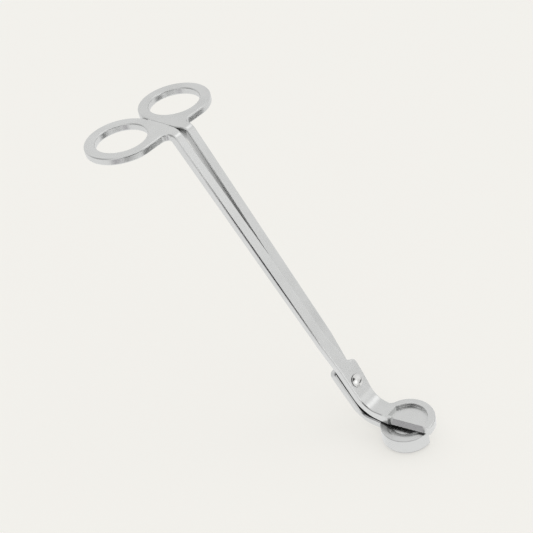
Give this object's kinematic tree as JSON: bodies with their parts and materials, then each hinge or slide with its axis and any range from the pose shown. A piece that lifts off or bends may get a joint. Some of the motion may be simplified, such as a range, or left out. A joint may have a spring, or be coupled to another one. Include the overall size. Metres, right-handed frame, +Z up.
{
  "type": "wick trimmer",
  "caption": "Scissor-action candle wick trimmer: two bent steel levers crossed on a rivet, with finger rings at the top and a round tray-shaped blade head at the bottom.",
  "frame": {"origin": "on the flat underside of the lower tray, below the middle of the round head", "axes": "+X forward from the finger rings to the head, +Y to the side of the upper blade, +Z up, square to the ring plate and the head"},
  "size_m": [0.1373, 0.061, 0.1241],
  "materials": {
    "lever_steel": "satin-polished stainless steel, light grey",
    "rivet_steel": "polished stainless steel"
  },
  "bodies": {
    "lower": {"lower_lever": "lever_steel", "pivot_rivet": "rivet_steel", "rivet_washer": "rivet_steel"},
    "upper": {"upper_lever": "lever_steel"}
  },
  "joints": [
    {"name": "lever_pivot", "type": "hinge", "parent": "lower", "child": "upper", "pos_m": [-0.02605, 0, 0.01873], "axis": [0.8526, 0, 0.5225], "range_deg": [0, 25]}
  ]
}
